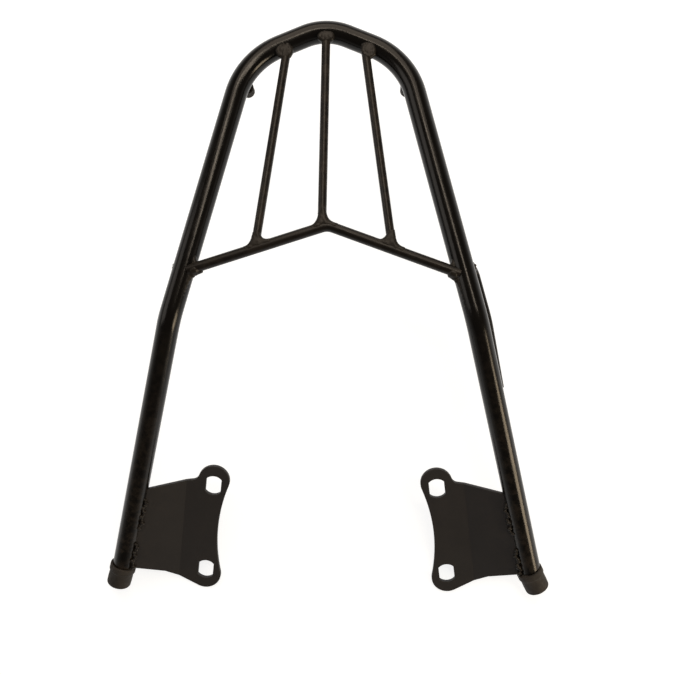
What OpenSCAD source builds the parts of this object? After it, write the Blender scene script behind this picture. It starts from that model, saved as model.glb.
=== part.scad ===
// Rear luggage rack for a motorcycle: a bent tube with a rod deck, dropped legs and folded mounting plates.
// Millimetres, +Z up, rear of the rack towards +Y, legs towards -Y. The deck is level.
// Origin: bottom centre of the whole rack.

/* [Bent tube] */
// Outside diameter of the main tube
tube_d = 18; // [16:0.5:20]
// Wall of the main tube
tube_wall = 1.5; // [1.2:0.1:2.5]
// Half width between the tube axes at the bend between deck and legs
bend_half_w = 121.4; // [112:0.2:132]
// Length of the deck, from that bend to the axis of the rear bow
deck_len = 237.8; // [225:0.2:255]
// Half width between the corner points of the rear bow's axis
bow_half_w = 65.7; // [56:0.1:76]
// Angle by which each leg spreads towards the front
leg_flare = 13.8; // [11:0.2:16]
// Angle by which the legs drop below the deck
leg_drop = 24; // [18:0.5:28]
// Length of the legs in their own plane, from the bend to the cut end of the tube
leg_len = 232; // [225:0.5:245]
// Slope of the two shoulders of the rear bow
shoulder_angle = 23; // [18:0.5:26]
// Bend radius at the middle of the rear bow
crest_bend_r = 45; // [36:1:60]
// Bend radius of the two rear corners
corner_bend_r = 61; // [45:1:66]
// Bend radius between deck and legs
drop_bend_r = 50; // [36:1:80]

/* [Deck rods] */
// Diameter of the deck rods and the strap rods
rod_d = 7; // [6:0.5:8]
// Diameter of the cross rod
cross_d = 8.5; // [7.5:0.5:10]
// Distance of the cross rod's apex behind the bend line
apex_y = 74; // [60:0.5:90]
// Sideways offset of the apex, as the hand-bent rod has it
apex_x = 3.4; // [-4:0.2:4]
// Slope of the left half of the cross rod
cross_angle_left = 18.2; // [12:0.1:22]
// Slope of the right half, which the hand-bent rod has a little steeper
cross_angle_right = 20.2; // [12:0.1:22]
// Bend radius at the apex
apex_bend_r = 14; // [12:1:30]
// Distance of an outer deck rod from the middle at its rear end
bar_rear_x = 31.3; // [26:0.1:40]
// Sideways offset of the three deck rods, as they are welded in
bar_shift = 0.5; // [-2:0.1:2]
// Angle by which the outer deck rods spread towards the front
bar_fan = 7.8; // [2:0.2:10]
// Sideways offset of the middle rod's foot
centre_foot_x = -0.9; // [-3:0.1:3]
// How far the deck rods lie below the level of the cross rod
bar_sink = 0.2; // [0.1:0.1:0.6]

/* [Mounting plates] */
// Thickness of the plates
plate_t = 4; // [3:0.5:5]
// Level of the flat part's top face, below the axes of the legs
plate_drop = 8; // [6:0.5:10]
// Distance between the two holes of one plate
hole_pitch = 82.2; // [76:0.1:90]
// Middle of the hole pair: distance from the leg's axis, across the rack
hole_in = 68; // [63:0.1:71]
// Middle of the hole pair: distance from the cut end of the tube, along the legs
hole_back = 40; // [36:0.1:48]
// Angle of the hole line against the middle of the rack
hole_line_angle = 7.5; // [3:0.1:12]
// Long dimension of a flat-sided hole
hole_long = 17.5; // [13:0.5:19]
// Distance between the flats of a hole
hole_flats = 13; // [10:0.5:14]
// Radius of the rounded lug around each hole
lug_r = 13.5; // [12.5:0.5:15]
// How far the lug's centre lies beyond its hole
lug_out = 4.7; // [2:0.1:6]
// Distance of the waisted inner edge from the hole line
waist_in = 7.1; // [6:0.1:9]
// Distance of the fold from the hole line
fold_at = 22.5; // [19:0.5:26]
// Angle of the fold
fold_angle = 18; // [12:1:20]
// Inside radius of the fold
fold_r = 3; // [2:0.5:5]
// Slope of the rear edge against the hole line's normal
rear_edge_angle = 14; // [8:1:18]
// Radius of the inside corner between lug and rear edge
rear_edge_r = 6.5; // [4:0.5:8]
// Slope of the front edge beside the lug
front_edge_angle = 22.5; // [18:0.5:26]
// Distance from the hole line at which the front edge turns
front_edge_turn = 35; // [28:1:38]
// Slope of the front edge beside the tube
front_end_angle = 10; // [6:0.5:13]

/* [Rubber parts] */
// Thickness of a cap's body round the tube
cap_wall = 1.3; // [1.2:0.1:2]
// Thickness of a cap's collar round the tube
cap_collar_wall = 2.2; // [1.8:0.1:3.2]
// Length of the collar
cap_collar_len = 6; // [4:0.5:8]
// Whole length of a cap
cap_len = 20.5; // [19:0.5:28]
// Length of tube inside the left cap
cap_grip_left = 9; // [8:0.5:11]
// Length of tube inside the right cap, which is pushed on further
cap_grip_right = 10.5; // [8:0.5:11]
// Thickness of a cap's closed end
cap_floor = 3; // [2:0.5:4]
// Tilt of the left cap, which sits slightly crooked
cap_tilt_left = 4; // [0:0.5:8]
// Tilt of the right cap, which sits more crooked
cap_tilt_right = 12; // [0:0.5:12]
// Rounding of the rubber edges
rubber_round = 2; // [1:0.25:3]

/* [Posts] */
// Distance of the posts ahead of the rear bow's axis
post_ahead = 38.3; // [33:0.1:48]
// Diameter of a post
post_d = 8; // [7:0.5:9]
// Diameter of a post's rubber tip
tip_d = 11; // [10:0.5:13]
// Height of a rubber tip
tip_h = 11; // [8:0.5:13]
// Underside of the tips, below the deck's axes
tip_drop = 31; // [26:0.5:36]

/* [Strap rods] */
// Rear end of a strap rod, behind the bend line
strap_rear = 41; // [34:0.5:45]
// Front end of a strap rod, along the leg
strap_front = 62; // [54:0.5:70]
// How far a strap rod stands outside the tube's axis
strap_out = 11.4; // [9:0.2:13]
// How far a strap rod hangs below the tube's axis
strap_down = 20; // [17:0.5:24]
// Bend radius where it turns down from the tube
strap_bend_r = 7; // [6:0.5:9]

/* [Hidden] */

$fn = 64;
tube_r = tube_d / 2;
rod_r = rod_d / 2;
cross_r = cross_d / 2;
// All rods lie level with the top of the tube
rod_z = tube_r - rod_r;
cross_z = tube_r - cross_r;
// Bends are drawn thicker than the straights by this share of the radius, and the straights reach
// this far into them
bend_swell = 0.0135;
bend_lap = 0.05;
// How far from the tube's axis a rod or plate ends before it is cut to the tube's skin
cope_in = 4;

steel = [0.07, 0.065, 0.06];
rubber = [0.1, 0.095, 0.09];
bead = [0.09, 0.08, 0.07];

function unit(v) = v / norm(v);
function turn(d, e) = acos(max(-1, min(1, d * e)));

// Corner points of the tube's axis, before its bends are rounded
bow_y = deck_len + crest_bend_r * (1 / cos(shoulder_angle) - 1);
corner_x = bow_half_w;
corner_y = bow_y - tan(shoulder_angle) * corner_x;
deck_flare = atan((bend_half_w - corner_x) / corner_y);
leg_end_x = bend_half_w + tan(leg_flare) * leg_len;

function side_x(y) = bend_half_w - tan(deck_flare) * y;
function leg_x(u) = bend_half_w + tan(leg_flare) * u;
// A point of the leg plane: across, along the leg from the bend, above the plane of the axes
function leg_point(x, u, h) = [
    x,
    -u * cos(leg_drop) - h * sin(leg_drop),
    -u * sin(leg_drop) + h * cos(leg_drop)];
function flip(p, side) = [side * p[0], p[1], p[2]];
hole_mid_u = leg_len - hole_back;
hole_mid_x = leg_x(hole_mid_u) - hole_in;
post_y = deck_len - post_ahead;

tube_path = [
    leg_point(-leg_end_x, leg_len, 0),
    [-bend_half_w, 0, 0],
    [-corner_x, corner_y, 0],
    [0, bow_y, 0],
    [corner_x, corner_y, 0],
    [bend_half_w, 0, 0],
    leg_point(leg_end_x, leg_len, 0)];
tube_bends = [0, drop_bend_r, corner_bend_r, crest_bend_r, corner_bend_r, drop_bend_r, 0];

// Bottom centre of the whole rack, in the frame of the bend line
leg_dir = unit(leg_point(leg_end_x, leg_len, 0) - [bend_half_w, 0, 0]);
cap_beyond = cap_len - min(cap_grip_left, cap_grip_right);
cap_round_at = leg_point(leg_end_x, leg_len, 0) + leg_dir * (cap_beyond - rubber_round);
cap_r = tube_r + cap_wall;
cap_edge = cap_r - rubber_round;
cap_front = cap_round_at[1] - cap_edge * sqrt(1 - leg_dir[1] * leg_dir[1]) - rubber_round;
cap_low = cap_round_at[2] - cap_edge * sqrt(1 - leg_dir[2] * leg_dir[2]) - rubber_round;
lug_tip_u = hole_mid_u + (hole_pitch / 2 + lug_out) * cos(hole_line_angle) + lug_r;
plate_front = leg_point(0, lug_tip_u, -plate_drop)[1];
plate_low = leg_point(0, lug_tip_u, -plate_drop - plate_t)[2];
rack_front = min(cap_front, plate_front);
rack_rear = deck_len + tube_r;
rack_low = min(cap_low, plate_low);
rack_shift = [0, -(rack_front + rack_rear) / 2, -rack_low];

// Turns the Z axis onto a direction
module along(at, d) {
    z = unit(d);
    ref = abs(z[2]) < 0.9 ? [0, 0, 1] : [1, 0, 0];
    x = unit(cross(ref, z));
    y = cross(z, x);
    multmatrix([
        [x[0], y[0], z[0], at[0]],
        [x[1], y[1], z[1], at[1]],
        [x[2], y[2], z[2], at[2]],
        [0, 0, 0, 1]])
        children();
}

// A straight length of round bar, or of tube when it has a bore
module straight(a, b, outer, bore) {
    len = norm(b - a);
    along(a, b - a)
        difference() {
            cylinder(r = outer, h = len);
            if (bore > 0)
                translate([0, 0, -1])
                    cylinder(r = bore, h = len + 2);
        }
}

// A bend of round bar or tube that starts at a point, leaves in direction d and turns to direction e
module bend(at, d, e, radius, outer, bore) {
    inward = unit(e - d * (e * d));
    x = -inward;
    z = cross(x, d);
    centre = at + radius * inward;
    multmatrix([
        [x[0], d[0], z[0], centre[0]],
        [x[1], d[1], z[1], centre[1]],
        [x[2], d[2], z[2], centre[2]],
        [0, 0, 0, 1]])
        rotate_extrude(angle = turn(d, e))
            translate([radius, 0])
                difference() {
                    circle(r = outer * (1 + bend_swell));
                    if (bore > 0)
                        circle(r = bore - outer * bend_swell);
                }
}

// Length that a bend takes from each of its two straights
function cut_back(path, bends, i) =
    bends[i] == 0 ? 0 :
    bends[i] * tan(turn(unit(path[i] - path[i - 1]), unit(path[i + 1] - path[i])) / 2);

// A bent bar or tube along a path of corner points
module bent(path, bends, outer, bore) {
    last = len(path) - 1;
    for (i = [0:last - 1]) {
        d = unit(path[i + 1] - path[i]);
        a = path[i] + d * (bends[i] == 0 ? 0 : cut_back(path, bends, i) - bend_lap);
        b = path[i + 1] - d * (bends[i + 1] == 0 ? 0 : cut_back(path, bends, i + 1) - bend_lap);
        straight(a, b, outer, bore);
    }
    for (i = [1:last - 1])
        if (bends[i] > 0) {
            d = unit(path[i] - path[i - 1]);
            e = unit(path[i + 1] - path[i]);
            bend(path[i] - d * cut_back(path, bends, i), d, e, bends[i], outer, bore);
        }
}

module in_row() {
    translate(rack_shift)
        children();
}

module sided(side) {
    if (side < 0)
        mirror([1, 0, 0])
            children();
    else
        children();
}

// Lengths of solid bar in the tube's place, which cut whatever is welded to it
module tube_side(side) {
    a = flip([corner_x, corner_y, 0], side);
    b = flip([bend_half_w, 0, 0], side);
    straight(a, b, tube_r, 0);
}

module tube_leg(side) {
    a = flip([bend_half_w, 0, 0], side);
    b = flip(leg_point(leg_end_x, leg_len, 0), side);
    straight(a, b, tube_r, 0);
}

module bow_body() {
    bent([for (i = [1:5]) tube_path[i]], [0, corner_bend_r, crest_bend_r, corner_bend_r, 0], tube_r, 0);
}

module main_tube() {
    color(steel)
        in_row()
            bent(tube_path, tube_bends, tube_r, tube_r - tube_wall);
}

// Cross rod: a V whose two ends are coped to the deck sides
function cross_angle(side) = side < 0 ? cross_angle_left : cross_angle_right;
function cross_y(x) = apex_y - tan(cross_angle(x - apex_x)) * abs(x - apex_x);
// Where the rod's axis crosses a line beside the tube's axis
function cross_end_x(side) =
    (bend_half_w - cope_in - tan(deck_flare) * (apex_y + side * tan(cross_angle(side)) * apex_x))
    / (1 - tan(deck_flare) * tan(cross_angle(side)));
cross_right = [cross_end_x(1), cross_y(cross_end_x(1)), cross_z];
cross_left = [-cross_end_x(-1), cross_y(-cross_end_x(-1)), cross_z];
cross_apex = [apex_x, apex_y, cross_z];
cross_path = [cross_left, cross_apex, cross_right];

module cross_rod_body() {
    bent(cross_path, [0, apex_bend_r, 0], cross_r, 0);
}

module cross_half(side) {
    straight(cross_apex, side < 0 ? cross_left : cross_right, cross_r, 0);
}

module crossbar() {
    color(steel)
        in_row()
            difference() {
                cross_rod_body();
                tube_side(-1);
                tube_side(1);
            }
}

// The arcs of the bow's axis: where the corner arc starts and ends, and its centre
corner_cut = corner_bend_r * tan((90 - deck_flare - shoulder_angle) / 2);
corner_start_x = corner_x - corner_cut * cos(shoulder_angle);
corner_end = [corner_x + sin(deck_flare) * corner_cut, corner_y - cos(deck_flare) * corner_cut];
corner_centre = corner_end - corner_bend_r * [cos(deck_flare), sin(deck_flare)];
crest_half = crest_bend_r * sin(shoulder_angle);
function arc_side(r, off) = sqrt(max(0, r * r - off * off));
// Level of the bow's axis at a distance from the middle
function bow_axis_y(x) =
    x < crest_half ? deck_len - crest_bend_r + arc_side(crest_bend_r, x) :
    x < corner_start_x ? bow_y - tan(shoulder_angle) * x :
    corner_centre[1] + arc_side(corner_bend_r, x - corner_centre[0]);

// Deck rods: rear end under the bow's skin, foot in the cross rod
bar_z = rod_z - bar_sink;
function bar_rear(side) = side == 0
    ? [bar_shift, bow_axis_y(abs(bar_shift)) - cope_in, bar_z]
    : [side * bar_rear_x + bar_shift, bow_axis_y(bar_rear_x + side * bar_shift) - cope_in, bar_z];
// Level at which an outer rod that starts at a rear point crosses the cross rod's axis
function foot_y(side, rear) =
    (cross_y(rear[0]) - tan(cross_angle(side)) * tan(bar_fan) * rear[1])
    / (1 - tan(cross_angle(side)) * tan(bar_fan));
function bar_foot(side) = side == 0
    ? [centre_foot_x, apex_y - 1, bar_z]
    : [bar_rear(side)[0] + side * tan(bar_fan) * (bar_rear(side)[1] - foot_y(side, bar_rear(side))),
        foot_y(side, bar_rear(side)), bar_z];

module bar_body(side) {
    straight(bar_rear(side), bar_foot(side), rod_r, 0);
}

module deck_bar(side) {
    color(steel)
        in_row()
            difference() {
                bar_body(side);
                bow_body();
                if (side == 0)
                    cross_rod_body();
                else
                    cross_half(side);
            }
}

module bar_left() deck_bar(-1);
module bar_centre() deck_bar(0);
module bar_right() deck_bar(1);

// Mounting plates: one outline seen from above, cut from one folded section
plate_top = -plate_drop;
lug_at = hole_pitch / 2 + lug_out;
waist_r = (lug_at * lug_at + waist_in * waist_in - lug_r * lug_r) / (2 * (lug_r - waist_in));
waist_at = [-waist_in - waist_r, 0];
rear_lug = [0, lug_at];
front_lug = [0, -lug_at];
rear_join = rear_lug + lug_r * unit(waist_at - rear_lug);
front_join = front_lug + lug_r * unit(waist_at - front_lug);
// Direction from the rear lug to the centre of the inside corner
rear_corner_turn = 13;
rear_corner = rear_lug + (lug_r + rear_edge_r) * [cos(rear_corner_turn), sin(rear_corner_turn)];
rear_touch = rear_corner - rear_edge_r * [sin(rear_edge_angle), cos(rear_edge_angle)];
front_touch = front_lug + lug_r * [sin(front_edge_angle), -cos(front_edge_angle)];
front_turn = [front_edge_turn,
    front_touch[1] + tan(front_edge_angle) * (front_edge_turn - front_touch[0])];

// The leg's axis in the plate's own frame
function to_plate(x, u) = [
    (x - hole_mid_x) * cos(hole_line_angle) + (hole_mid_u - u) * sin(hole_line_angle),
    -(x - hole_mid_x) * sin(hole_line_angle) + (hole_mid_u - u) * cos(hole_line_angle)];
leg_skew = leg_flare - hole_line_angle;
leg_mid = to_plate(leg_x(hole_mid_u), hole_mid_u);
function edge_p(q) = leg_mid[0] - cope_in / cos(leg_skew) - tan(leg_skew) * (q - leg_mid[1]);
// Outer ends of the rear edge and of the front edge, on the line beside the tube's axis
rear_slope = -tan(rear_edge_angle);
front_slope = tan(front_end_angle);
rear_outer_p = (edge_p(0) + tan(leg_skew) * (rear_slope * rear_touch[0] - rear_touch[1]))
    / (1 + tan(leg_skew) * rear_slope);
rear_outer = [rear_outer_p, rear_touch[1] + rear_slope * (rear_outer_p - rear_touch[0])];
front_outer_p = (edge_p(0) + tan(leg_skew) * (front_slope * front_turn[0] - front_turn[1]))
    / (1 + tan(leg_skew) * front_slope);
front_outer = [front_outer_p, front_turn[1] + front_slope * (front_outer_p - front_turn[0])];

module flat_sided_hole() {
    intersection() {
        circle(d = hole_long);
        square([hole_flats, hole_long + 1], center = true);
    }
}

module plate_outline() {
    difference() {
        union() {
            polygon([rear_join, front_join, front_lug, front_touch, front_turn, front_outer,
                rear_outer, rear_touch, rear_corner, rear_lug]);
            translate(rear_lug)
                circle(r = lug_r);
            translate(front_lug)
                circle(r = lug_r);
        }
        translate(waist_at)
            circle(r = waist_r, $fn = 240);
        translate(rear_corner)
            circle(r = rear_edge_r);
        for (s = [-1, 1])
            translate([0, s * hole_pitch / 2])
                flat_sided_hole();
    }
}

// Folded section of a plate: flat part, fold, rising part
fold_steps = 4;
fold_centre = [fold_at, plate_top + fold_r];
function fold_point(r, k) = fold_centre
    + r * [sin(fold_angle * k / fold_steps), -cos(fold_angle * k / fold_steps)];
rise_len = 1.3 * hole_in;
rise = rise_len * [cos(fold_angle), sin(fold_angle)];
// Material kept outside the outline before it is cut
spare = 5;

module plate_section() {
    polygon(concat(
        [[-lug_r - spare, plate_top]],
        [for (k = [0:fold_steps]) fold_point(fold_r, k)],
        [fold_point(fold_r, fold_steps) + rise, fold_point(fold_r + plate_t, fold_steps) + rise],
        [for (k = [fold_steps:-1:0]) fold_point(fold_r + plate_t, k)],
        [[-lug_r - spare, plate_top - plate_t]]));
}

// The frame of the right plate: X across the hole line, Y along it towards the rear
module plate_frame() {
    rotate([leg_drop, 0, 0])
        translate([hole_mid_x, -hole_mid_u, 0])
            rotate([0, 0, hole_line_angle])
                children();
}

module plate_body() {
    plate_frame()
        intersection() {
            translate([0, 0, -rise_len])
                linear_extrude(height = 2 * rise_len)
                    plate_outline();
            rotate([90, 0, 0])
                translate([0, 0, -lug_at - lug_r - spare])
                    linear_extrude(height = 2 * (lug_at + lug_r + spare))
                        plate_section();
        }
}

module plate(side) {
    color(steel)
        in_row()
            difference() {
                sided(side)
                    plate_body();
                tube_leg(side);
            }
}

module plate_left() plate(-1);
module plate_right() plate(1);

// Rubber caps: collar and body, pushed over the tube ends and tilted outwards
module round_end(r, len) {
    rotate_extrude()
        union() {
            square([r, len - rubber_round]);
            square([r - rubber_round, len]);
            translate([r - rubber_round, len - rubber_round])
                intersection() {
                    circle(r = rubber_round);
                    square(rubber_round);
                }
        }
}

module cap(side, tilt, grip) {
    tube_end = leg_point(leg_end_x, leg_len, 0);
    pivot = tube_end - leg_dir * grip / 2;
    up = leg_point(0, 0, 1);
    tilted = leg_dir * cos(tilt) + cross(up, leg_dir) * sin(tilt);
    mouth = pivot - tilted * grip / 2;
    color(rubber)
        in_row()
            sided(side)
                difference() {
                    union() {
                        along(mouth, tilted)
                            cylinder(r = tube_r + cap_collar_wall, h = cap_collar_len);
                        along(mouth + tilted, tilted)
                            round_end(cap_r, cap_len - 1);
                    }
                    along(tube_end - leg_dir * grip * 2, leg_dir)
                        cylinder(r = tube_r, h = grip * 2);
                    along(pivot, tilted)
                        cylinder(r = tube_r - tube_wall, h = cap_len - grip / 2 - cap_floor);
                }
}

module cap_left() cap(-1, cap_tilt_left, cap_grip_left);
module cap_right() cap(1, cap_tilt_right, cap_grip_right);

// Posts: stubs under the rear corners, with rubber tips
post_x = post_y > corner_end[1]
    ? corner_centre[0] + arc_side(corner_bend_r, post_y - corner_centre[1])
    : side_x(post_y);
tip_low = -tip_drop;
post_low = tip_low + tip_h / 2;

module post_body() {
    translate([post_x, post_y, post_low])
        cylinder(d = post_d, h = -post_low);
}

module post(side) {
    color(steel)
        in_row()
            sided(side)
                difference() {
                    post_body();
                    bow_body();
                }
}

module post_tip(side) {
    color(rubber)
        in_row()
            sided(side)
                difference() {
                    translate([post_x, post_y, tip_low + tip_h])
                        mirror([0, 0, 1])
                            round_end(tip_d / 2, tip_h);
                    post_body();
                }
}

module post_left() post(-1);
module post_right() post(1);
module post_tip_left() post_tip(-1);
module post_tip_right() post_tip(1);

// Strap rods: they leave the underside of a deck side, run below the bend and end on the leg
strap_flat = [cos(deck_flare), sin(deck_flare), 0];
// Shares of strap_out by which the rod's two ends stand outside the tube's axis
strap_top_share = 0.35;
strap_end_share = 0.62;
strap_top = [side_x(strap_rear), strap_rear, 0] + strap_flat * strap_out * strap_top_share;
strap_knee = [side_x(strap_rear), strap_rear, 0] + strap_flat * strap_out - [0, 0, strap_down];
strap_mid = [bend_half_w, 0, 0] + strap_flat * strap_out - [0, 0, strap_down];
strap_bite = 0.3;
strap_side = strap_out * strap_end_share;
strap_under = sqrt(pow(tube_r + rod_r - strap_bite, 2) - pow(strap_side, 2));
strap_end = leg_point(leg_x(strap_front) + strap_side * cos(leg_flare),
    strap_front - strap_side * sin(leg_flare), -strap_under);

module strap_body() {
    bent([strap_top, strap_knee, strap_mid, strap_end],
        [0, strap_bend_r, drop_bend_r, 0], rod_r, 0);
}

module strap_rod(side) {
    color(steel)
        in_row()
            sided(side)
                difference() {
                    strap_body();
                    tube_side(1);
                    tube_leg(1);
                }
}

module strap_rod_left() strap_rod(-1);
module strap_rod_right() strap_rod(1);

// Weld beads: collars and runs at each joint, cut to the pieces that they join
bead_proud = 0.6;
bead_reach = 60;
bead_lip = 0.3;
// Beads on the tube end this far from the line of its crown
crown_gap = 2;
// Width of a collar beyond its rod where it meets the other piece
rear_bead = 3.8;
foot_bead = 5.6;
cross_bead = 7.6;
// How far a collar runs along its rod, past the skin of the other piece
rear_bead_out = 3;
foot_bead_out = 7;
cross_bead_out = 4;
// How far behind the cross rod's axis the foot beads start
foot_start = 2.6;

module lump(at, r) {
    translate(at)
        sphere(r = r);
}

// A collar round a rod of radius r that widens towards the piece it is welded to, and starts inside
// that piece. Only the part of it inside the given space is drawn.
module collar(at, d, r, wide, len, inside) {
    way = unit(d);
    widening = (wide - bead_lip) / len;
    intersection() {
        along(at - way * inside, way)
            cylinder(r1 = r + wide + widening * inside, r2 = r + bead_lip, h = len + inside);
        children();
    }
}

// The space that a bead round a rod of radius r may fill: little higher than the rod, which lies level
// with the tube's top, and on one side of a line through at
module bead_space(at, r, facing, from) {
    translate([at[0], at[1], tube_r - 2 * r - bead_proud])
        rotate([0, 0, facing])
            translate([from, -bead_reach, 0])
                cube([bead_reach, 2 * bead_reach, 2 * r + 2 * bead_proud]);
}

module weld_rear(side) {
    foot = bar_foot(side);
    rear = bar_rear(side);
    color(bead)
        in_row()
            difference() {
                collar(rear, foot - rear, rod_r, rear_bead, tube_r - cope_in + rear_bead_out, cope_in)
                    bead_space(rear + [0, cope_in, 0], rod_r, -90 - side * shoulder_angle, crown_gap);
                bar_body(side);
                bow_body();
            }
}

module weld_foot(side) {
    foot = bar_foot(side);
    rear = bar_rear(side);
    color(bead)
        in_row()
            difference() {
                collar(foot + unit(rear - foot) * foot_start, rear - foot, rod_r, foot_bead,
                    cross_r + foot_bead_out - foot_start, 0)
                        bead_space(foot, rod_r, 90, 0);
                bar_body(side);
                if (side == 0)
                    cross_rod_body();
                else
                    cross_half(side);
            }
}

module weld_cross(side) {
    end = side < 0 ? cross_left : cross_right;
    color(bead)
        in_row()
            difference() {
                collar(end, cross_apex - end, cross_r, cross_bead,
                    tube_r - cope_in + cross_bead_out, cope_in)
                        bead_space([side * bend_half_w, 0], cross_r,
                            side < 0 ? -deck_flare : 180 + deck_flare, crown_gap);
                cross_half(side);
                tube_side(side);
            }
}

// A run of weld with thinned ends
module run(a, b, r) {
    len = norm(b - a);
    along(a, b - a)
        rotate_extrude()
            polygon([[0, 0], [r / 2, 0], [r, r], [r, len - r], [r / 2, len], [0, len]]);
}

// Two tacks along the corner between a plate's top face and the leg, from the hole pair's middle
tack_r = 2.6;
tack_gap = 0.4;
tack_lift = 0.9;
tack_turn = 14;
rear_tack = [-30.7, -5.7];
front_tack = [16.3, 32.3];
function rise_h(p) = plate_top + tan(fold_angle) * (p - fold_at);
function tack_point(u) = leg_point(
    leg_x(u) - (tube_r + tack_gap) * cos(leg_flare) * cos(tack_turn),
    u + (tube_r + tack_gap) * sin(leg_flare) * cos(tack_turn),
    rise_h(to_plate(leg_x(u) - tube_r, u)[0]) + tack_lift);

module weld_plate(side, tack) {
    a = tack_point(hole_mid_u + tack[0]);
    b = tack_point(hole_mid_u + tack[1]);
    color(bead)
        in_row()
            difference() {
                sided(side)
                    run(a, b, tack_r);
                tube_leg(side);
                sided(side)
                    plate_body();
            }
}

// Bead round the top of a post
post_bead = 2.6;
post_bead_low = 2.4;
post_bead_in = 2;

module weld_post(side) {
    color(bead)
        in_row()
            sided(side)
                difference() {
                    translate([post_x, post_y, -tube_r - post_bead_low])
                        cylinder(r1 = post_d / 2 + bead_lip, r2 = post_d / 2 + post_bead,
                            h = post_bead_low + post_bead_in);
                    post_body();
                    bow_body();
                }
}

// Lumps at the two ends of a strap rod
strap_bead = 1.6;
strap_bead_low = 0.6;
strap_bead_step = 5;

module weld_strap_rear(side) {
    at = strap_top + unit(strap_knee - strap_top) * (tube_r + strap_bead_low);
    color(bead)
        in_row()
            sided(side)
                difference() {
                    lump(at, rod_r + strap_bead);
                    strap_body();
                    tube_side(1);
                }
}

module weld_strap_front(side) {
    back = unit(strap_mid - strap_end);
    axis_near = leg_point(leg_x(strap_front), strap_front, 0);
    at = strap_end + back * rod_r + unit(axis_near - strap_end) * strap_bead;
    color(bead)
        in_row()
            sided(side)
                difference() {
                    union() {
                        lump(at, rod_r + strap_bead_low);
                        lump(at + back * strap_bead_step, rod_r + strap_bead_low / 2);
                    }
                    strap_body();
                    tube_leg(1);
                }
}

module weld_rear_left() weld_rear(-1);
module weld_rear_centre() weld_rear(0);
module weld_rear_right() weld_rear(1);
module weld_foot_left() weld_foot(-1);
module weld_foot_centre() weld_foot(0);
module weld_foot_right() weld_foot(1);
module weld_cross_left() weld_cross(-1);
module weld_cross_right() weld_cross(1);
module weld_plate_left_rear() weld_plate(-1, rear_tack);
module weld_plate_left_front() weld_plate(-1, front_tack);
module weld_plate_right_rear() weld_plate(1, rear_tack);
module weld_plate_right_front() weld_plate(1, front_tack);
module weld_post_left() weld_post(-1);
module weld_post_right() weld_post(1);
module weld_strap_left_rear() weld_strap_rear(-1);
module weld_strap_left_front() weld_strap_front(-1);
module weld_strap_right_rear() weld_strap_rear(1);
module weld_strap_right_front() weld_strap_front(1);

main_tube();
crossbar();
bar_left();
bar_centre();
bar_right();
plate_left();
plate_right();
cap_left();
cap_right();
post_left();
post_right();
post_tip_left();
post_tip_right();
strap_rod_left();
strap_rod_right();
weld_rear_left();
weld_rear_centre();
weld_rear_right();
weld_foot_left();
weld_foot_centre();
weld_foot_right();
weld_cross_left();
weld_cross_right();
weld_plate_left_rear();
weld_plate_left_front();
weld_plate_right_rear();
weld_plate_right_front();
weld_post_left();
weld_post_right();
weld_strap_left_rear();
weld_strap_left_front();
weld_strap_right_rear();
weld_strap_right_front();
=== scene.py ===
# %% [markdown]
# # A welded motorcycle luggage rack
# The rack is one bent steel tube, a deck of thin rods, two folded plates that bolt to the motorcycle,
# and a few rubber parts. The CAD frame holds every piece at its real size. This script loads that
# frame and dresses it: each piece is made again with the softer edges, bends and weld beads of the
# real one, and gets its paint or rubber.

# %% Load the frame
import math
import bmesh
import bpy
from mathutils import Matrix, Quaternion, Vector


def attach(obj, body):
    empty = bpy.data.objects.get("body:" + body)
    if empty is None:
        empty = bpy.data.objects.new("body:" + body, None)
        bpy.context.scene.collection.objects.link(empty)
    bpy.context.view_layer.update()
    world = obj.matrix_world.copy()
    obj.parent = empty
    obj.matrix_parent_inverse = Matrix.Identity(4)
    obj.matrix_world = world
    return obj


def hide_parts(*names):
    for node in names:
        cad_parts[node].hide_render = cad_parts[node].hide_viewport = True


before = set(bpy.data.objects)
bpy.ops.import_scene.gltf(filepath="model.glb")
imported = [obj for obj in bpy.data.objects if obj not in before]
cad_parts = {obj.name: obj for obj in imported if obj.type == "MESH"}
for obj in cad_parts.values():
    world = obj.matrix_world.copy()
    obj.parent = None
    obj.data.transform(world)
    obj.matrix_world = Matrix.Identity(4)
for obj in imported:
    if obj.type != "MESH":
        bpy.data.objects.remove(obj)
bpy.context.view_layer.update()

# %% [markdown]
# ## The rack's sizes
# A fabricator works from a few numbers: stock diameters, bend radii, and where each piece meets the
# next. The same numbers are kept here in metres, so that the new pieces land on the CAD ones. The
# deck lies flat. The legs drop from a bend line at its front, in a plane of their own.

# %% Sizes
MM = 0.001
tube_r = 9 * MM
tube_wall = 1.5 * MM
rod_r = 3.5 * MM
cross_r = 4.25 * MM
bend_half_w = 121.4 * MM
bow_half_w = 65.7 * MM
deck_len = 237.8 * MM
leg_len = 232 * MM
leg_flare = math.radians(13.8)
leg_drop = math.radians(24)
shoulder = math.radians(23)
crest_bend = 45 * MM
corner_bend = 61 * MM
drop_bend = 50 * MM
rod_z = tube_r - rod_r
cross_z = tube_r - cross_r

bow_y = deck_len + crest_bend * (1 / math.cos(shoulder) - 1)
corner_x = bow_half_w
corner_y = bow_y - math.tan(shoulder) * corner_x
deck_flare = math.atan((bend_half_w - corner_x) / corner_y)
leg_end_x = bend_half_w + math.tan(leg_flare) * leg_len

# %% [markdown]
# Two small helpers turn those numbers into places. The first moves a point from the bend line to the
# rack's own frame, whose origin is the bottom centre of the whole rack. The second gives a point in
# the plane of the legs: across, along the leg, and above the plane.

# %% Places
shift = Vector((0, -10.2997, 113.0161)) * MM


def place(x, y, z):
    return Vector((x, y, z)) + shift


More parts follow.
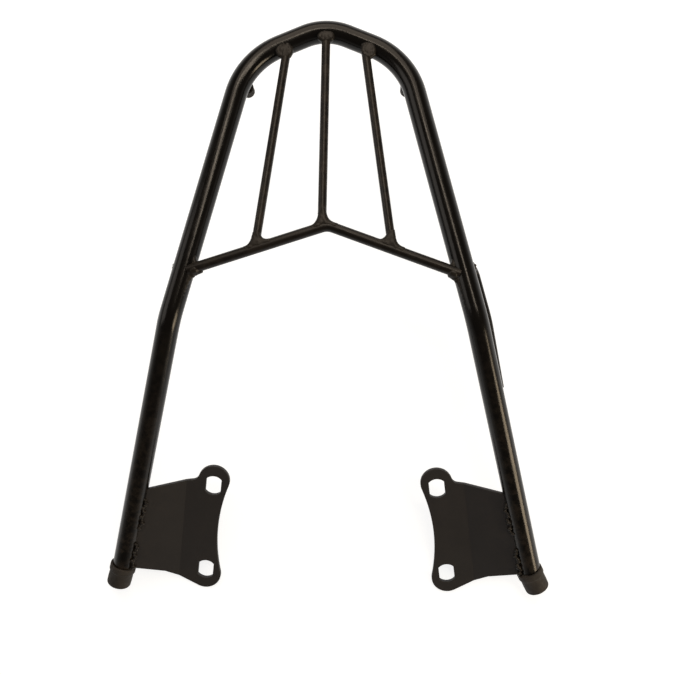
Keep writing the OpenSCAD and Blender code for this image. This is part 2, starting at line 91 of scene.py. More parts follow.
def leg_place(x, along, above):
    return place(x, -along * math.cos(leg_drop) - above * math.sin(leg_drop),
                 -along * math.sin(leg_drop) + above * math.cos(leg_drop))


def side_x(y):
    return bend_half_w - math.tan(deck_flare) * y


def leg_x(along):
    return bend_half_w + math.tan(leg_flare) * along


def mirrored(point, side):
    return Vector((side * point.x, point.y, point.z))


# %% [markdown]
# ## Paint and rubber
# Everything steel on the rack wears one coat of black paint. It isn't perfectly smooth: paint dries
# with a fine orange-peel texture, it gathers a little dust where it faces up, and it thins along
# edges that get knocked. Several materials use each of these effects, so each one is a node group,
# built once. A group gives only masks and heights; the shader itself stays in the material.

# %% Node group helper
def new_group(name, inputs, outputs):
    tree = bpy.data.node_groups.new(name, "ShaderNodeTree")
    for label, default in inputs:
        socket = tree.interface.new_socket(label, in_out="INPUT", socket_type="NodeSocketFloat")
        socket.default_value = default
    for label in outputs:
        tree.interface.new_socket(label, in_out="OUTPUT", socket_type="NodeSocketFloat")
    return tree, tree.nodes.new("NodeGroupInput"), tree.nodes.new("NodeGroupOutput")


def add(tree, kind, **settings):
    node = tree.nodes.new(kind)
    for key, value in settings.items():
        setattr(node, key, value)
    return node


def math_node(tree, operation, a, b):
    node = add(tree, "ShaderNodeMath", operation=operation)
    for socket, value in zip(node.inputs, (a, b)):
        if isinstance(value, (int, float)):
            socket.default_value = value
        else:
            tree.links.new(value, socket)
    return node.outputs[0]


def noise(tree, scale, detail, rough=0.5):
    coords = add(tree, "ShaderNodeTexCoord")
    node = add(tree, "ShaderNodeTexNoise")
    tree.links.new(coords.outputs["Object"], node.inputs["Vector"])
    if isinstance(scale, (int, float)):
        node.inputs["Scale"].default_value = scale
    else:
        tree.links.new(scale, node.inputs["Scale"])
    node.inputs["Detail"].default_value = detail
    node.inputs["Roughness"].default_value = rough
    return node.outputs[0]


def between(tree, value, low, high, to_low=0.0, to_high=1.0):
    node = add(tree, "ShaderNodeMapRange")
    tree.links.new(value, node.inputs["Value"])
    for label, number in (("From Min", low), ("From Max", high), ("To Min", to_low), ("To Max", to_high)):
        node.inputs[label].default_value = number
    return node.outputs[0]


# %% [markdown]
# Orange peel is a soft noise of a millimetre or two, with a much wider one below it, because a brushed
# or dipped coat also sags slowly. Both are heights for a bump node.

# %% Orange peel
peel, peel_in, peel_out = new_group("orange_peel", [("Grain size", 900.0), ("Sag", 0.5)], ["Height"])
fine = noise(peel, peel_in.outputs["Grain size"], 1.0)
wide = noise(peel, 90.0, 2.0)
sag = math_node(peel, "MULTIPLY", wide, peel_in.outputs["Sag"])
peel.links.new(math_node(peel, "ADD", fine, sag), peel_out.inputs["Height"])
print(peel.name, len(peel.nodes), "nodes")

# %% [markdown]
# Dust settles on what faces up, in patches. The mask takes the up part of the surface's direction and
# breaks it with noise.

# %% Settled dust
dust, dust_in, dust_out = new_group("settled_dust", [("Amount", 0.3), ("Patch size", 40.0)], ["Mask"])
facing = add(dust, "ShaderNodeNewGeometry")
split = add(dust, "ShaderNodeSeparateXYZ")
dust.links.new(facing.outputs["Normal"], split.inputs[0])
upward = between(dust, split.outputs["Z"], 0.2, 1.0)
patches = between(dust, noise(dust, dust_in.outputs["Patch size"], 5.0, 0.5), 0.2, 0.8)
dust.links.new(math_node(dust, "MULTIPLY", math_node(dust, "MULTIPLY", upward, patches),
                         dust_in.outputs["Amount"]), dust_out.inputs["Mask"])
print(dust.name, len(dust.nodes), "nodes")

# %% [markdown]
# Wear shows on ridges. Pointiness is high where a surface turns sharply outwards, and a noise keeps
# the rubbed places from looking like a drawn line.

# %% Edge wear
wear, wear_in, wear_out = new_group("edge_wear", [("Amount", 0.5), ("Break up", 160.0)], ["Mask"])
ridge = add(wear, "ShaderNodeNewGeometry")
sharp = between(wear, ridge.outputs["Pointiness"], 0.52, 0.62)
broken = between(wear, noise(wear, wear_in.outputs["Break up"], 4.0, 0.65), 0.42, 0.62)
wear.links.new(math_node(wear, "MULTIPLY", math_node(wear, "MULTIPLY", sharp, broken),
                         wear_in.outputs["Amount"]), wear_out.inputs["Mask"])
print(wear.name, len(wear.nodes), "nodes")

# %% [markdown]
# One function mixes the paint. The film's colour changes slightly over the piece, as a thin coat does,
# dust lifts it, and worn ridges show a warmer grey. Roughness follows the dust, so that dusty
# places lose their gloss. The tube has the glossiest and darkest coat. The rods are a little duller,
# the plates nearly matte, and the beads hold the most dust in their ripples.

# %% Paint
dust_colour = (0.1, 0.08, 0.06, 1)
rubbed_colour = (0.07, 0.055, 0.042, 1)
bump_depth = 0.1 * MM


def painted(name, colour, gloss_low, gloss_high, peel_strength, dusty, worn, grain=900.0, ior=1.32):
    material = bpy.data.materials.new(name)
    material.use_nodes = True
    tree = material.node_tree
    shader = tree.nodes["Principled BSDF"]
    shader.inputs["IOR"].default_value = ior
    peel_node = add(tree, "ShaderNodeGroup", node_tree=peel)
    peel_node.inputs["Grain size"].default_value = grain
    dust_node = add(tree, "ShaderNodeGroup", node_tree=dust)
    dust_node.inputs["Amount"].default_value = dusty
    wear_node = add(tree, "ShaderNodeGroup", node_tree=wear)
    wear_node.inputs["Amount"].default_value = worn

    film = add(tree, "ShaderNodeMix", data_type="RGBA")
    film.inputs["A"].default_value = (*[c * 0.8 for c in colour], 1)
    film.inputs["B"].default_value = (*[c * 1.25 for c in colour], 1)
    tree.links.new(noise(tree, 26.0, 4.0), film.inputs["Factor"])
    dusted = add(tree, "ShaderNodeMix", data_type="RGBA")
    dusted.inputs["B"].default_value = dust_colour
    tree.links.new(dust_node.outputs["Mask"], dusted.inputs["Factor"])
    tree.links.new(film.outputs["Result"], dusted.inputs["A"])
    rubbed = add(tree, "ShaderNodeMix", data_type="RGBA")
    rubbed.inputs["B"].default_value = rubbed_colour
    tree.links.new(wear_node.outputs["Mask"], rubbed.inputs["Factor"])
    tree.links.new(dusted.outputs["Result"], rubbed.inputs["A"])
    tree.links.new(rubbed.outputs["Result"], shader.inputs["Base Color"])

    gloss = between(tree, noise(tree, 60.0, 5.0, 0.6), 0.3, 0.7, gloss_low, gloss_high)
    dull = math_node(tree, "ADD", gloss, math_node(tree, "MULTIPLY", dust_node.outputs["Mask"], 0.35))
    tree.links.new(dull, shader.inputs["Roughness"])
    bump = add(tree, "ShaderNodeBump")
    bump.inputs["Strength"].default_value = peel_strength
    bump.inputs["Distance"].default_value = bump_depth
    tree.links.new(peel_node.outputs["Height"], bump.inputs["Height"])
    tree.links.new(bump.outputs["Normal"], shader.inputs["Normal"])
    return material


tube_paint = painted("tube_paint", (0.0028, 0.0024, 0.002), 0.14, 0.24, 0.3, 0.012, 0.3)
rod_paint = painted("rod_paint", (0.004, 0.0032, 0.0026), 0.26, 0.4, 0.3, 0.04, 0.3)
plate_paint = painted("plate_paint", (0.0185, 0.0178, 0.0188), 0.48, 0.6, 0.3, 0.03, 0.3, 1200.0)
bead_paint = painted("bead_paint", (0.0085, 0.007, 0.0055), 0.34, 0.48, 0.2, 0.08, 0.2)
for paint in (tube_paint, rod_paint, plate_paint, bead_paint):
    print(paint.name, len(paint.node_tree.nodes), "nodes")

# %% [markdown]
# The caps and tips are moulded rubber: nearly black, matte, with a fine tooth from the mould and paler
# bloom where it has aged.

# %% Rubber
rubber = bpy.data.materials.new("cap_rubber")
rubber.use_nodes = True
tree = rubber.node_tree
shader = tree.nodes["Principled BSDF"]
shader.inputs["IOR"].default_value = 1.35
bloom = add(tree, "ShaderNodeMix", data_type="RGBA")
bloom.inputs["A"].default_value = (0.017, 0.015, 0.0135, 1)
bloom.inputs["B"].default_value = (0.036, 0.031, 0.027, 1)
tree.links.new(between(tree, noise(tree, 70.0, 6.0, 0.65), 0.35, 0.7), bloom.inputs["Factor"])
tree.links.new(bloom.outputs["Result"], shader.inputs["Base Color"])
tree.links.new(between(tree, noise(tree, 300.0, 3.0), 0.3, 0.7, 0.62, 0.8), shader.inputs["Roughness"])
tooth = add(tree, "ShaderNodeBump")
tooth.inputs["Strength"].default_value = 0.4
tooth.inputs["Distance"].default_value = bump_depth
tree.links.new(noise(tree, 2200.0, 2.0), tooth.inputs["Height"])
tree.links.new(tooth.outputs["Normal"], shader.inputs["Normal"])
print("rubber", len(tree.nodes), "nodes")

# %% [markdown]
# ## Making a piece
# Every piece starts as a bmesh and ends as an object at the origin, with its place in its mesh. One
# helper does the last steps: normals outwards, smooth shading with crisp and open edges kept sharp,
# the material, a parent, and hiding the CAD node that the piece stands for.

# %% Piece helper
def show(name, bm, material, nodes, crisp=35.0):
    bmesh.ops.recalc_face_normals(bm, faces=bm.faces)
    for face in bm.faces:
        face.smooth = True
    for edge in bm.edges:
        if edge.is_boundary or edge.calc_face_angle(0) > math.radians(crisp):
            edge.smooth = False
    mesh = bpy.data.meshes.new(name)
    bm.to_mesh(mesh)
    bm.free()
    mesh.materials.append(material)
    piece = bpy.data.objects.new(name, mesh)
    bpy.context.scene.collection.objects.link(piece)
    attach(piece, "root")
    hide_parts(*nodes)
    print(name, len(mesh.polygons), "faces,", [round(v * 1000, 1) for v in piece.dimensions], "mm")
    return piece


# %% [markdown]
# ## The bent tube
# A tube bender takes one straight tube and turns it round a former, bend after bend. The script works
# the same way. One ring of edges is the tube's end. Each straight extrudes the ring along its line,
# and each bend spins it round the bend's centre, so the surface runs smoothly into every bend.

# %% Bend a bar
def ring_edges(geometry):
    return [part for part in geometry if isinstance(part, bmesh.types.BMEdge)]


def bend_bar(path, radii, outer, sides, bend_step=4.0):
    bm = bmesh.new()
    first = (path[1] - path[0]).normalized()
    turned = first.to_track_quat("Z", "Y").to_matrix().to_4x4()
    bmesh.ops.create_circle(bm, cap_ends=False, segments=sides, radius=outer,
                            matrix=Matrix.Translation(path[0]) @ turned)
    ring = bm.edges[:]
    at = path[0].copy()
    for i in range(1, len(path)):
        way_in = (path[i] - path[i - 1]).normalized()
        cut = 0.0
        if radii[i]:
            way_out = (path[i + 1] - path[i]).normalized()
            turn = way_in.angle(way_out)
            cut = radii[i] * math.tan(turn / 2)
        target = path[i] - way_in * cut
        grown = bmesh.ops.extrude_edge_only(bm, edges=ring)["geom"]
        moved = {part for part in grown if isinstance(part, bmesh.types.BMVert)}
        ring = [edge for edge in ring_edges(grown) if set(edge.verts) <= moved]
        bmesh.ops.translate(bm, verts=list(moved), vec=target - at)
        at = target
        if radii[i]:
            axis = way_in.cross(way_out).normalized()
            centre = at + axis.cross(way_in) * radii[i]
            steps = max(3, math.ceil(math.degrees(turn) / bend_step))
            spun = bmesh.ops.spin(bm, geom=ring, cent=centre, axis=axis, angle=turn, steps=steps,
                                  use_merge=False, use_duplicate=False)
            ring = ring_edges(spun["geom_last"])
            at = centre + Quaternion(axis, turn) @ (at - centre)
    return bm


def close_ends(bm):
    open_edges = [edge for edge in bm.edges if len(edge.link_faces) == 1]
    bmesh.ops.holes_fill(bm, edges=open_edges)


# %% [markdown]
# The tube is hollow, so its skin gets a wall of the real thickness on the inside. Its two ends are cut
# square and sit inside the rubber caps.

# %% Bow tube
tube_path = [
    leg_place(-leg_end_x, leg_len, 0), place(-bend_half_w, 0, 0), place(-corner_x, corner_y, 0),
    place(0, bow_y, 0),
    place(corner_x, corner_y, 0), place(bend_half_w, 0, 0), leg_place(leg_end_x, leg_len, 0)]
tube_bends = [0, drop_bend, corner_bend, crest_bend, corner_bend, drop_bend, 0]
bow_tube = show("bow_tube", bend_bar(tube_path, tube_bends, tube_r, 64, 3.0), tube_paint,
                ["main_tube"])
wall = bow_tube.modifiers.new("wall", "SOLIDIFY")
wall.thickness = tube_wall
wall.offset = -1

# %% [markdown]
# ## The deck rods
# The cross rod is a shallow V, bent by hand, so its point sits a little off the middle. Three rods run
# from it to the bow. All of them lie level with the tube's top, so that a bag rests flat. Their ends
# run into what they are welded to, which is hidden by the beads.

# %% Cross rod
apex_x = 3.4 * MM
apex_y = 74 * MM
apex_bend = 14 * MM
cross_slope = {-1: math.tan(math.radians(18.2)), 1: math.tan(math.radians(20.2))}
bite = 4 * MM


def cross_y(x):
    return apex_y - cross_slope[-1 if x < apex_x else 1] * abs(x - apex_x)


def cross_end(side):
    slope = cross_slope[side]
    reach = bend_half_w - bite - math.tan(deck_flare) * (apex_y + side * slope * apex_x)
    x = side * reach / (1 - math.tan(deck_flare) * slope)
    return place(x, cross_y(x), cross_z)


apex = place(apex_x, apex_y, cross_z)
cross = bend_bar([cross_end(-1), apex, cross_end(1)], [0, apex_bend, 0], cross_r, 40, 2.5)
close_ends(cross)
show("cross_rod", cross, rod_paint, ["crossbar"])

# %% Deck rods
bar_rear_x = 31.3 * MM
bar_shift = 0.5 * MM
bar_fan = math.tan(math.radians(7.8))
centre_foot_x = -0.9 * MM
bar_sink = 0.2 * MM
bar_z = rod_z - bar_sink


def bar_ends(side):
    if side == 0:
        foot_y = apex_y - 1 * MM
        return place(bar_shift, deck_len - bite, bar_z), place(centre_foot_x, foot_y, bar_z)
    rear_x = side * bar_rear_x + bar_shift
    rear_y = bow_y - math.tan(shoulder) * abs(rear_x) - bite
    lean = cross_slope[side] * bar_fan
    foot_y = (cross_y(rear_x) - lean * rear_y) / (1 - lean)
    foot_x = rear_x + side * bar_fan * (rear_y - foot_y)
    return place(rear_x, rear_y, bar_z), place(foot_x, foot_y, bar_z)


for side, label in ((-1, "left"), (0, "centre"), (1, "right")):
    rod = bend_bar(list(bar_ends(side)), [0, 0], rod_r, 40)
    close_ends(rod)
    show("deck_rod_" + label, rod, rod_paint, ["bar_" + label])

# %% [markdown]
# ## The mounting plates
# Each plate is cut flat from 4 mm sheet, with two lugs, a waisted inner edge and two flat-sided holes,
# and is then folded so that its outer half rises to the tube. The outline is drawn as a bender's
# template would be: a point is spun round each lug and run along each straight. The filled outline is
# cut across at the fold, pushed to its thickness, and lifted along the fold's curve.

# %% Plate sizes
plate_t = 4 * MM
plate_top = -8 * MM
hole_pitch = 82.2 * MM
hole_mid_along = leg_len - 40 * MM
hole_mid_x = leg_x(hole_mid_along) - 68 * MM
hole_line = math.radians(7.5)
hole_long = 17.5 * MM
hole_flats = 13 * MM
lug_r = 13.5 * MM
lug_out = 4.7 * MM
waist_in = 7.1 * MM
fold_at = 22.5 * MM
fold_angle = math.radians(18)
fold_r = 3 * MM
rear_edge = math.radians(14)
rear_edge_r = 6.5 * MM
front_edge = math.radians(22.5)
front_turn_x = 35 * MM
front_end = math.radians(10)
corner_lean = math.radians(13)
edge_round = 0.5 * MM
fold_cuts = 6
nearby = 0.01 * MM

lug_at = hole_pitch / 2 + lug_out
waist_r = (lug_at ** 2 + waist_in ** 2 - lug_r ** 2) / (2 * (lug_r - waist_in))
waist = Vector((-waist_in - waist_r, 0, 0))
rear_lug = Vector((0, lug_at, 0))
front_lug = Vector((0, -lug_at, 0))
corner_way = Vector((math.cos(corner_lean), math.sin(corner_lean), 0))
rear_corner = rear_lug + (lug_r + rear_edge_r) * corner_way
rear_touch = rear_corner - rear_edge_r * Vector((math.sin(rear_edge), math.cos(rear_edge), 0))
front_touch = front_lug + lug_r * Vector((math.sin(front_edge), -math.cos(front_edge), 0))
front_turn_y = front_touch.y + math.tan(front_edge) * (front_turn_x - front_touch.x)
front_turn = Vector((front_turn_x, front_turn_y, 0))
leg_skew = leg_flare - hole_line


def on_plate(x, along):
    dx, dy = x - hole_mid_x, hole_mid_along - along
    return Vector((dx * math.cos(hole_line) + dy * math.sin(hole_line),
                   -dx * math.sin(hole_line) + dy * math.cos(hole_line), 0))


leg_mid = on_plate(leg_x(hole_mid_along), hole_mid_along)
edge_at_middle = leg_mid.x - bite / math.cos(leg_skew) + math.tan(leg_skew) * leg_mid.y


def meets_leg(start, slope):
    skew = math.tan(leg_skew)
    x = (edge_at_middle + skew * (slope * start.x - start.y)) / (1 + skew * slope)
    return Vector((x, start.y + slope * (x - start.x), 0))


rear_outer = meets_leg(rear_touch, -math.tan(rear_edge))
front_outer = meets_leg(front_turn, math.tan(front_end))


# %% Draw an outline
def direction_to(centre, point):
    return math.atan2(point.y - centre.y, point.x - centre.x)


def draw_arc(bm, at, centre, end, clockwise, step=6.0):
    sweep = direction_to(centre, end) - direction_to(centre, at.co)
    sweep = -(-sweep % math.tau) if clockwise else sweep % math.tau
    steps = max(3, math.ceil(abs(math.degrees(sweep)) / step))
    spun = bmesh.ops.spin(bm, geom=[at], cent=centre, axis=(0, 0, 1), angle=sweep, steps=steps,
                          use_merge=False, use_duplicate=False)
    return [part for part in spun["geom_last"] if isinstance(part, bmesh.types.BMVert)][0]


def draw_line(bm, at, end):
    grown = bmesh.ops.extrude_vert_indiv(bm, verts=[at])["verts"][0]
    grown.co = end
    return grown


def draw_plate(bm):
    rear_join = rear_lug + lug_r * (waist - rear_lug).normalized()
    front_join = front_lug + lug_r * (waist - front_lug).normalized()
    rear_meet = rear_lug + lug_r * (rear_corner - rear_lug).normalized()
    at = bm.verts.new(rear_join)
    at = draw_arc(bm, at, waist, front_join, True, 2.0)
    at = draw_arc(bm, at, front_lug, front_touch, False)
    at = draw_line(bm, at, front_turn)
    at = draw_line(bm, at, front_outer)
    at = draw_line(bm, at, rear_outer)
    at = draw_line(bm, at, rear_touch)
    at = draw_arc(bm, at, rear_corner, rear_meet, True)
    draw_arc(bm, at, rear_lug, rear_join, False)


def draw_hole(bm, middle):
    half_w, r = hole_flats / 2, hole_long / 2
    half_h = math.sqrt(r * r - half_w * half_w)
    at = bm.verts.new(middle + Vector((half_w, half_h, 0)))
    at = draw_arc(bm, at, middle, middle + Vector((-half_w, half_h, 0)), False)
    at = draw_line(bm, at, middle + Vector((-half_w, -half_h, 0)))
    at = draw_arc(bm, at, middle, middle + Vector((half_w, -half_h, 0)), False)
    draw_line(bm, at, middle + Vector((half_w, half_h, 0)))


# %% Fold a plate
def fold_height(x, radius):
    turned = fold_at + radius * math.sin(fold_angle)
    if x <= fold_at:
        return fold_r - radius
    if x <= turned:
        return fold_r - math.sqrt(radius ** 2 - (x - fold_at) ** 2)
    return fold_r - radius * math.cos(fold_angle) + math.tan(fold_angle) * (x - turned)


def make_plate(side):
    bm = bmesh.new()
    draw_plate(bm)
    for end in (-1, 1):
        draw_hole(bm, Vector((0, end * hole_pitch / 2, 0)))
    bmesh.ops.remove_doubles(bm, verts=bm.verts, dist=nearby)
    bmesh.ops.triangle_fill(bm, use_beauty=True, use_dissolve=True, edges=bm.edges[:],
                            normal=(0, 0, 1))
    for k in range(fold_cuts + 1):
        for radius in (fold_r, fold_r + plate_t):
            x = fold_at + radius * math.sin(fold_angle * k / fold_cuts)
            bmesh.ops.bisect_plane(bm, geom=bm.verts[:] + bm.edges[:] + bm.faces[:], dist=nearby,
                                   plane_co=(x, 0, 0), plane_no=(1, 0, 0))
    thick = bmesh.ops.extrude_face_region(bm, geom=bm.faces[:])["geom"]
    under = {part for part in thick if isinstance(part, bmesh.types.BMVert)}
    for vert in bm.verts:
        radius = fold_r + plate_t if vert in under else fold_r
        vert.co.z = plate_top + fold_height(vert.co.x, radius)
    bmesh.ops.recalc_face_normals(bm, faces=bm.faces)
    rim = [edge for edge in bm.edges if len(edge.link_faces) == 2
           and edge.calc_face_angle() > math.radians(50)]
    bmesh.ops.bevel(bm, geom=rim, offset=edge_round, offset_type="OFFSET", affect="EDGES",
                    segments=3, profile=0.5, material=-1, clamp_overlap=True)
    turn = (Matrix.Rotation(leg_drop, 4, "X")
            @ Matrix.Translation((hole_mid_x, -hole_mid_along, 0))
            @ Matrix.Rotation(hole_line, 4, "Z"))
    bm.transform(Matrix.Translation(shift) @ turn)
    if side < 0:
        bmesh.ops.scale(bm, verts=bm.verts, vec=(-1, 1, 1))
    return bm


for side, label in ((-1, "left"), (1, "right")):
    plate = show("mount_plate_" + label, make_plate(side), plate_paint,
                 ["plate_" + label], crisp=60)
    even = plate.modifiers.new("even_normals", "WEIGHTED_NORMAL")
    even.keep_sharp = True

# %% [markdown]
# ## Rubber caps
# A cap is a thimble of rubber pushed over the tube's end, with a thicker collar round its mouth. The
# profile of half the thimble is spun into a closed shell. Each cap sits a little crooked, so its outside
# is turned about the middle of its grip, more on the right than on the left, while its bore stays on
# the tube.

# %% Cap
cap_r = 10.3 * MM
collar_r = 11.2 * MM
collar_len = 6 * MM
cap_len = 20.5 * MM
cap_floor = 3 * MM
rubber_round = 2 * MM
lip = 0.8 * MM
bore_gap = 0.05 * MM
leg_dir = (leg_place(leg_end_x, leg_len, 0) - place(bend_half_w, 0, 0)).normalized()
leg_up = leg_place(0, 0, 1) - leg_place(0, 0, 0)


def turned_part(profile, steps):
    bm = bmesh.new()
    verts = [bm.verts.new((r, 0, z)) for r, z in profile]
    edges = [bm.edges.new(pair) for pair in zip(verts, verts[1:])]
    bmesh.ops.spin(bm, geom=verts + edges, cent=(0, 0, 0), axis=(0, 0, 1), angle=math.tau,
                   steps=steps, use_merge=True, use_duplicate=False)
    bmesh.ops.remove_doubles(bm, verts=bm.verts, dist=0.001 * MM)
    return bm


def rounded(profile, corner, radius, start, end, steps=5):
    for k in range(steps + 1):
        a = math.radians(start + (end - start) * k / steps)
        profile.append((corner[0] + radius * math.cos(a), corner[1] + radius * math.sin(a)))


def cap_profile(grip):
    inner = tube_r + bore_gap
    profile = [(0, cap_len - cap_floor), (tube_r - tube_wall, cap_len - cap_floor),
               (tube_r - tube_wall, grip), (inner, grip), (inner, lip)]
    rounded(profile, (inner + lip, lip), lip, 180, 270, 3)
    rounded(profile, (collar_r - lip, lip), lip, -90, 0, 4)
    rounded(profile, (collar_r - lip, collar_len - lip), lip, 0, 70, 4)
    profile.append((cap_r + 0.15 * MM, collar_len + 0.4 * MM))
    profile.append((cap_r, collar_len + 1.2 * MM))
    profile.append((cap_r + 0.1 * MM, (collar_len + cap_len) / 2))
    rounded(profile, (cap_r - rubber_round, cap_len - rubber_round), rubber_round, 0, 90, 7)
    profile.append((0, cap_len))
    return profile


def make_cap(side, tilt, grip):
    bm = turned_part(cap_profile(grip), 56)
    pivot = Vector((0, 0, grip / 2))
    for vert in bm.verts:
        from_bore = vert.co.xy.length - tube_r - bore_gap
        share = 1.0 if vert.co.z > grip + 1 * MM else max(0.0, min(1.0, from_bore / lip))
        vert.co = pivot + Matrix.Rotation(-tilt * share, 3, "Y") @ (vert.co - pivot)
    across = leg_up.cross(leg_dir)
    basis = Matrix((-across, leg_up, leg_dir)).transposed().to_4x4()
    mouth = leg_place(leg_end_x, leg_len, 0) - leg_dir * grip
    bm.transform(Matrix.Translation(mouth) @ basis)
    if side < 0:
        bmesh.ops.scale(bm, verts=bm.verts, vec=(-1, 1, 1))
    return bm


for side, label, tilt, grip in ((-1, "left", 4, 9), (1, "right", 12, 10.5)):
    show("end_cap_" + label, make_cap(side, math.radians(tilt), grip * MM), rubber,
         ["cap_" + label], crisp=50)

# %% [markdown]
# ## Posts
# Two short stubs hang under the bow's rear corners and carry rubber tips. They are cut from rod, and
# the tips are turned from a profile like the caps. Each stub hangs where the tube's axis is, so the
# place is worked out on the corner's arc.

# %% Posts and tips
post_y = deck_len - 38.3 * MM
post_r = 4 * MM
tip_r = 5.5 * MM
tip_h = 11 * MM
tip_drop = 31 * MM
tip_gap = 0.03 * MM
tip_edge = 0.6 * MM
stub_top = 6 * MM
side_dir = Vector((bend_half_w - corner_x, -corner_y, 0)).normalized()
corner_cut = corner_bend * math.tan((math.pi / 2 - deck_flare - shoulder) / 2)
corner_end = Vector((corner_x, corner_y, 0)) + side_dir * corner_cut
corner_centre = corner_end - corner_bend * Vector((math.cos(deck_flare), math.sin(deck_flare), 0))
post_x = side_x(post_y)
if post_y > corner_end.y:
    post_x = corner_centre.x + math.sqrt(corner_bend ** 2 - (post_y - corner_centre.y) ** 2)


def tip_profile():
    profile = [(0, tip_h / 2), (post_r + tip_gap, tip_h / 2), (post_r + tip_gap, tip_h)]
    rounded(profile, (tip_r - tip_edge, tip_h - tip_edge), tip_edge, 90, 0, 4)
    profile.append((tip_r * 0.97, tip_h * 0.6))
    rounded(profile, (tip_r - rubber_round, rubber_round), rubber_round, 0, -90, 7)
    profile.append((0, 0))
    return profile


for side, label in ((-1, "left"), (1, "right")):
    foot = place(side * post_x, post_y, -tip_drop)
    low_end = foot + Vector((0, 0, tip_h / 2))
    high_end = foot + Vector((0, 0, tip_drop - stub_top))
    stub = bend_bar([low_end, high_end], [0, 0], post_r, 32)
    close_ends(stub)
    show("stub_" + label, stub, rod_paint, ["post_" + label])
    tip = turned_part(tip_profile(), 40)
    tip.transform(Matrix.Translation(foot))
    show("stub_tip_" + label, tip, rubber, ["post_tip_" + label], crisp=50)

# %% [markdown]
# ## Strap rods
# A bent rod hangs under each side, across the bend between deck and leg. It gives straps and hooks
# something to hold. Both ends run into the tube's skin.

# %% Strap rods
strap_rear = 41 * MM
strap_front = 62 * MM
strap_out = 11.4 * MM
strap_down = 20 * MM
strap_bend = 7 * MM
strap_lean = 0.62
strap_start = 0.35
strap_sink = 0.3 * MM
out_dir = Vector((math.cos(deck_flare), math.sin(deck_flare), 0))
strap_side = strap_out * strap_lean
strap_under = math.sqrt((tube_r + rod_r - strap_sink) ** 2 - strap_side ** 2)
strap_top = place(side_x(strap_rear), strap_rear, 0) + out_dir * strap_out * strap_start
strap_knee = place(side_x(strap_rear), strap_rear, -strap_down) + out_dir * strap_out
strap_mid = place(bend_half_w, 0, -strap_down) + out_dir * strap_out
strap_end = leg_place(leg_x(strap_front) + strap_side * math.cos(leg_flare),
                      strap_front - strap_side * math.sin(leg_flare), -strap_under)
for side, label in ((-1, "left"), (1, "right")):
    path = [mirrored(p, side) for p in (strap_top, strap_knee, strap_mid, strap_end)]
    strap = bend_bar(path, [0, strap_bend, drop_bend, 0], rod_r, 40, 5.0)
    close_ends(strap)
    show("strap_rod_bent_" + label, strap, rod_paint, ["strap_rod_" + label])

# %% [markdown]
# ## Weld beads
# A bead is a row of small pools of metal, each laid over the one before, which is why it looks like a
# stack of tipped coins. The script lays the same row: a flattened ball for each pool, along the line
# where two pieces meet. A voxel remesh melts the row into one skin, and a little smoothing lets the
# paint run over it.

# %% Lay a bead
pool_flat = 0.7
pool_swell = 0.07
pool_beat = 2.4


def lay_bead(name, pools, nodes, voxel=0.45 * MM, passes=4):
    bm = bmesh.new()
    for i, (point, travel, size) in enumerate(pools):
        lean = travel.to_track_quat("X", "Z").to_matrix().to_4x4()
        flat = Matrix.Diagonal((pool_flat, 1.0, 1.0, 1.0))
        radius = size * (1 + pool_swell * math.sin(pool_beat * i))
        bmesh.ops.create_icosphere(bm, subdivisions=3, radius=radius,
                                   matrix=Matrix.Translation(point) @ lean @ flat)
    rough = bpy.data.meshes.new(name + "_pools")
    bm.to_mesh(rough)
    bm.free()
    holder = bpy.data.objects.new(name + "_pools", rough)
    bpy.context.scene.collection.objects.link(holder)
    melt = holder.modifiers.new("melt", "REMESH")
    melt.mode = "VOXEL"
    melt.voxel_size = voxel
    graph = bpy.context.evaluated_depsgraph_get()
    melted = bpy.data.meshes.new_from_object(holder.evaluated_get(graph))
    bpy.data.objects.remove(holder)
    bm = bmesh.new()
    bm.from_mesh(melted)
    bpy.data.meshes.remove(melted)
    for _ in range(passes):
        bmesh.ops.smooth_vert(bm, verts=bm.verts, factor=0.5, use_axis_x=True, use_axis_y=True,
                              use_axis_z=True)
    return show(name, bm, bead_paint, nodes, crisp=180)


# %% [markdown]
# On the real rack the welder filled the corners well: a rod does not end in a neat ring but widens
# into a smooth web before it meets the next bar. A web is made of pools too. They fill the corner
# between two directions, and their outer edge is hollow, as molten metal draws itself. Where a rod
# ends on the bow tube, a flat lump of metal lies over its end instead. Two functions place the pools
# and give them back as a list, so that any bead can be mixed from webs, lumps and rows.

# %% Webs and lumps
deck_top = place(0, 0, tube_r).z


def web(corner, one, reach_one, two, reach_two, size, hollow=1.7, steps=8, layers=3):
    root = corner - (one + two) * size
    pools = []
    for i in range(steps + 1):
        t = i / steps
        edge = corner + one * reach_one * (1 - t) ** hollow + two * reach_two * t ** hollow
        inside = edge - (two * (1 - t) + one * t).normalized() * size
        for j in range(1, layers + 1):
            pools.append((root.lerp(inside, j / layers), (two - one).normalized(), size))
    return pools


def lump(middle, along, half_len, half_wide, size):
    across = along.cross(Vector((0, 0, 1))).normalized()
    pools = [(middle, across, size * 1.05)]
    for ring, count in ((0.5, 7), (1.0, 13)):
        for i in range(count):
            a = math.tau * i / count
            out = along * math.cos(a) * (half_len - size) + across * math.sin(a) * (half_wide - size)
            pools.append((middle + out * ring, across, size * (1.04 - 0.1 * ring)))
    return pools


# %% [markdown]
# At the bow, each deck rod is buried under a lump. The welder made three different ones, so each has
# its own place and size, in millimetres: ahead along the rod, aside, half length and half width. A
# second layer of pools lies tucked under the first and fills the gap down to the rod.

